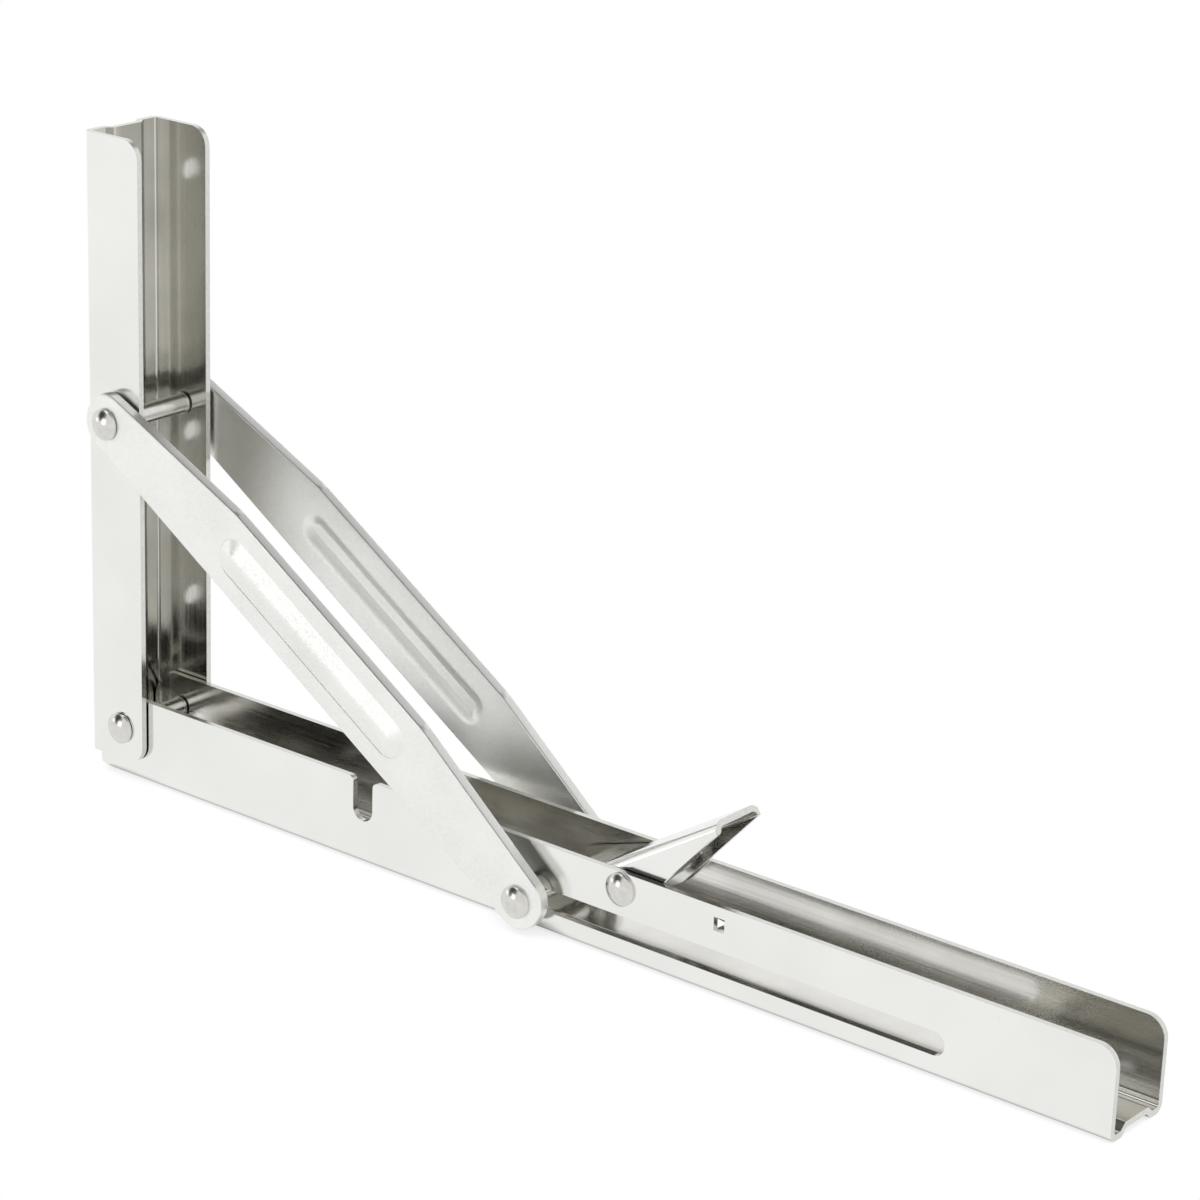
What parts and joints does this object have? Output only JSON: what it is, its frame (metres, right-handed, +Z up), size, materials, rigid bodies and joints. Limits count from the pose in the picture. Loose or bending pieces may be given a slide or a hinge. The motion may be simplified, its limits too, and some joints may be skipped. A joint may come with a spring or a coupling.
{
  "type": "drop leaf table bracket",
  "caption": "Folding steel bracket for a table leaf or shelf: two nesting channel arms, braced by ribbed struts whose pin slides in slots, with a thumb-released latch lever.",
  "frame": {"origin": "middle of the bounding box, on the surface that the leaf arm's screw face rests on", "axes": "+X along the leaf arm away from the wall arm, +Y across from the near strut to the far strut, +Z up along the wall arm"},
  "size_m": [0.3018, 0.0362, 0.1647],
  "materials": {
    "arm_steel": "polished stainless sheet, lightly brushed along its length",
    "strut_steel": "satin stainless plate with a fine blasted grain",
    "rivet_steel": "bright polished steel",
    "spring_wire": "drawn spring wire"
  },
  "bodies": {
    "leaf_arm": {"leaf_arm": "arm_steel", "main_pivot_rivet": "rivet_steel", "lever_rivet": "rivet_steel", "lever_spring": "spring_wire"},
    "wall_arm": {"wall_arm": "arm_steel", "strut_pivot_rivet": "rivet_steel"},
    "struts": {"near_strut": "strut_steel", "far_strut": "strut_steel", "near_slide_rivet": "rivet_steel", "far_slide_rivet": "rivet_steel"},
    "slide_pin": {"slide_pin": "rivet_steel", "near_slide_washer": "rivet_steel", "far_slide_washer": "rivet_steel"},
    "release_lever": {"release_lever": "arm_steel"}
  },
  "joints": [
    {"name": "fold", "type": "hinge", "parent": "leaf_arm", "child": "wall_arm", "pos_m": [-0.13995, 0, 0.0135], "axis": [0, 1, 0], "range_deg": [0, 90]},
    {"name": "strut_swing", "type": "hinge", "parent": "wall_arm", "child": "struts", "pos_m": [-0.14045, 0, 0.094], "axis": [0, -1, 0], "range_deg": [0, 120.6]},
    {"name": "pin_slide", "type": "slide", "parent": "leaf_arm", "child": "slide_pin", "axis": [1, 0, 0], "range_m": [0, 0.1061]},
    {"name": "lever_press", "type": "hinge", "parent": "leaf_arm", "child": "release_lever", "pos_m": [0.01965, 0, 0.0176], "axis": [0, 1, 0], "range_deg": [-13, 10], "stiffness_Nm_per_rad": 0.15}
  ],
  "couplings": [
    {"joint": "strut_swing", "follows": "fold", "ratio": 1.3394},
    {"joint": "pin_slide", "follows": "fold", "m_per_rad": 0.067488}
  ]
}
